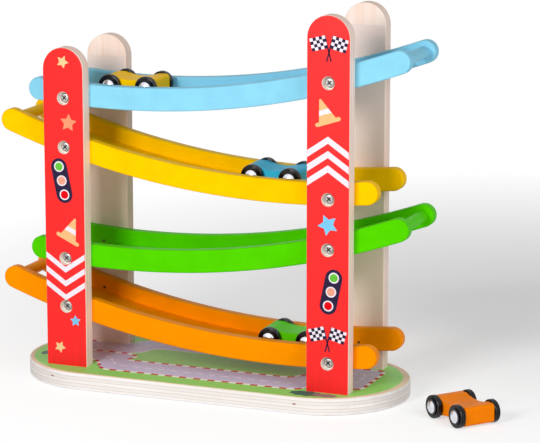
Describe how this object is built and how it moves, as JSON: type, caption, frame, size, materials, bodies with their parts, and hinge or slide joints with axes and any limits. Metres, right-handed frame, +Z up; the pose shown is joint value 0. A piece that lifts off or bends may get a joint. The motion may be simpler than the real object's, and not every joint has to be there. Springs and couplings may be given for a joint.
{
  "type": "click clack track toy",
  "caption": "Wooden track toy on a plywood base: small cars roll down curved tracks between posts and drop from each low end to the track below.",
  "frame": {"origin": "centre of the base board's underside, on the table", "axes": "+Z up, +X to the right along the tracks seen from the front, +Y from the printed front to the back"},
  "size_m": [0.4525, 0.142, 0.3311],
  "materials": {
    "birch_plywood": "birch plywood, satin, the outer face printed red",
    "printed_base": "birch plywood, printed on top, satin",
    "red_post": "birch plywood, satin, the outer face printed red with road signs",
    "blue_paint": "satin paint on wood",
    "yellow_paint": "satin paint on wood",
    "green_paint": "satin paint on wood",
    "orange_paint": "satin paint on wood",
    "zinc_screw": "zinc plated",
    "axle_steel": "drawn wire",
    "black_wheel": "semi-gloss black",
    "silver_cap": "bright domed caps",
    "yellow_car_paint": "satin paint on wood",
    "blue_car_paint": "satin paint on wood",
    "green_car_paint": "satin paint on wood",
    "orange_car_paint": "satin paint on wood"
  },
  "bodies": {
    "stand": {"base_board": "printed_base", "base_screws": "zinc_screw", "front_left_post": "red_post", "front_left_post_screws": "zinc_screw", "front_right_post": "red_post", "front_right_post_screws": "zinc_screw", "rear_left_post": "birch_plywood", "rear_left_post_screws": "zinc_screw", "rear_right_post": "birch_plywood", "rear_right_post_screws": "zinc_screw", "orange_front_rail": "orange_paint", "orange_rear_rail": "orange_paint", "orange_floor": "orange_paint", "orange_stop_dowel": "orange_paint", "green_front_rail": "green_paint", "green_rear_rail": "green_paint", "green_floor": "green_paint", "green_stop_dowel": "green_paint", "yellow_front_rail": "yellow_paint", "yellow_rear_rail": "yellow_paint", "yellow_floor": "yellow_paint", "yellow_stop_dowel": "yellow_paint", "blue_front_rail": "blue_paint", "blue_rear_rail": "blue_paint", "blue_floor": "blue_paint", "blue_stop_dowel": "blue_paint"},
    "yellow_car": {"yellow_car_body": "yellow_car_paint"},
    "yellow_car_front_wheelset": {"yellow_car_front_axle": "axle_steel", "yellow_car_front_wheels": "black_wheel", "yellow_car_front_hub_caps": "silver_cap"},
    "yellow_car_rear_wheelset": {"yellow_car_rear_axle": "axle_steel", "yellow_car_rear_wheels": "black_wheel", "yellow_car_rear_hub_caps": "silver_cap"},
    "blue_car": {"blue_car_body": "blue_car_paint"},
    "blue_car_front_wheelset": {"blue_car_front_axle": "axle_steel", "blue_car_front_wheels": "black_wheel", "blue_car_front_hub_caps": "silver_cap"},
    "blue_car_rear_wheelset": {"blue_car_rear_axle": "axle_steel", "blue_car_rear_wheels": "black_wheel", "blue_car_rear_hub_caps": "silver_cap"},
    "green_car": {"green_car_body": "green_car_paint"},
    "green_car_front_wheelset": {"green_car_front_axle": "axle_steel", "green_car_front_wheels": "black_wheel", "green_car_front_hub_caps": "silver_cap"},
    "green_car_rear_wheelset": {"green_car_rear_axle": "axle_steel", "green_car_rear_wheels": "black_wheel", "green_car_rear_hub_caps": "silver_cap"},
    "orange_car": {"orange_car_body": "orange_car_paint"},
    "orange_car_front_wheelset": {"orange_car_front_axle": "axle_steel", "orange_car_front_wheels": "black_wheel", "orange_car_front_hub_caps": "silver_cap"},
    "orange_car_rear_wheelset": {"orange_car_rear_axle": "axle_steel", "orange_car_rear_wheels": "black_wheel", "orange_car_rear_hub_caps": "silver_cap"}
  },
  "joints": [
    {"name": "yellow_car_roll", "type": "hinge", "parent": "stand", "child": "yellow_car", "pos_m": [-0.0735, 0, 0.9712], "axis": [0, -1, 0], "range_deg": [-1.6, 17.86]},
    {"name": "yellow_car_front_wheels_spin", "type": "hinge", "parent": "yellow_car", "child": "yellow_car_front_wheelset", "pos_m": [-0.05749, 0, 0.25628], "axis": [0, 1, 0], "continuous": true},
    {"name": "yellow_car_rear_wheels_spin", "type": "hinge", "parent": "yellow_car", "child": "yellow_car_rear_wheelset", "pos_m": [-0.09149, 0, 0.25633], "axis": [0, 1, 0], "continuous": true},
    {"name": "blue_car_roll", "type": "hinge", "parent": "stand", "child": "blue_car", "pos_m": [0.0735, 0, 0.9017], "axis": [0, -1, 0], "range_deg": [-16.44, 3.02]},
    {"name": "blue_car_front_wheels_spin", "type": "hinge", "parent": "blue_car", "child": "blue_car_front_wheelset", "pos_m": [0.07374, 0, 0.1866], "axis": [0, 1, 0], "continuous": true},
    {"name": "blue_car_rear_wheels_spin", "type": "hinge", "parent": "blue_car", "child": "blue_car_rear_wheelset", "pos_m": [0.03975, 0, 0.1874], "axis": [0, 1, 0], "continuous": true},
    {"name": "green_car_roll", "type": "hinge", "parent": "stand", "child": "green_car", "pos_m": [0.0735, 0, 0.7627], "axis": [0, -1, 0], "range_deg": [-17.7, 1.76]},
    {"name": "green_car_front_wheels_spin", "type": "hinge", "parent": "green_car", "child": "green_car_front_wheelset", "pos_m": [0.08951, 0, 0.04778], "axis": [0, 1, 0], "continuous": true},
    {"name": "green_car_rear_wheels_spin", "type": "hinge", "parent": "green_car", "child": "green_car_rear_wheelset", "pos_m": [0.05551, 0, 0.04783], "axis": [0, 1, 0], "continuous": true},
    {"name": "orange_car_roll", "type": "slide", "parent": "stand", "child": "orange_car", "axis": [0.788, -0.6157, 0], "range_m": [-0.02, 0.12]},
    {"name": "orange_car_front_wheels_spin", "type": "hinge", "parent": "orange_car", "child": "orange_car_front_wheelset", "pos_m": [0.2474, -0.04547, 0.00975], "axis": [0.6157, 0.788, 0], "continuous": true},
    {"name": "orange_car_rear_wheels_spin", "type": "hinge", "parent": "orange_car", "child": "orange_car_rear_wheelset", "pos_m": [0.2206, -0.02453, 0.00975], "axis": [0.6157, 0.788, 0], "continuous": true}
  ],
  "couplings": [
    {"joint": "yellow_car_front_wheels_spin", "follows": "yellow_car_roll", "ratio": 74.374},
    {"joint": "yellow_car_rear_wheels_spin", "follows": "yellow_car_roll", "ratio": 74.374},
    {"joint": "blue_car_front_wheels_spin", "follows": "blue_car_roll", "ratio": 74.374},
    {"joint": "blue_car_rear_wheels_spin", "follows": "blue_car_roll", "ratio": 74.374},
    {"joint": "green_car_front_wheels_spin", "follows": "green_car_roll", "ratio": 74.374},
    {"joint": "green_car_rear_wheels_spin", "follows": "green_car_roll", "ratio": 74.374},
    {"joint": "orange_car_front_wheels_spin", "follows": "orange_car_roll", "rad_per_m": 102.56},
    {"joint": "orange_car_rear_wheels_spin", "follows": "orange_car_roll", "rad_per_m": 102.56}
  ]
}
